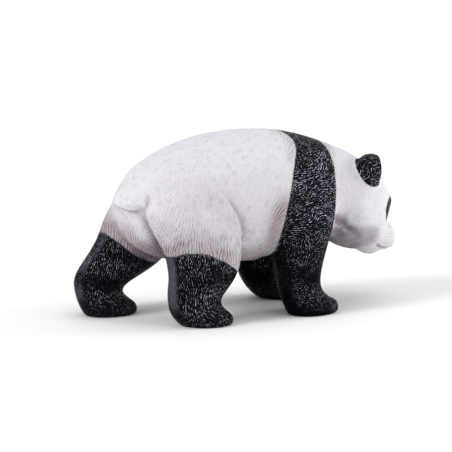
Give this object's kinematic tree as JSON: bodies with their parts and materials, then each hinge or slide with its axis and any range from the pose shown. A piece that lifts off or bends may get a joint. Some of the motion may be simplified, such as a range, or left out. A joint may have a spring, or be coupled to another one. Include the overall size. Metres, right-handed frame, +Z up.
{
  "type": "animal figurine",
  "caption": "Moulded giant panda figurine that stands on its paws in mid stride, head lowered, with a short flat tail.",
  "frame": {"origin": "on the ground, under the middle of the figure's box", "axes": "+X towards the head, +Y to the figure's left, +Z up"},
  "size_m": [0.0944, 0.0386, 0.0503],
  "materials": {
    "painted_vinyl": "soft vinyl with carved fur: satin white, with semi-gloss black on the legs, shoulders, ears and eye patches"
  },
  "bodies": {
    "root": {"panda": "painted_vinyl"}
  },
  "joints": []
}
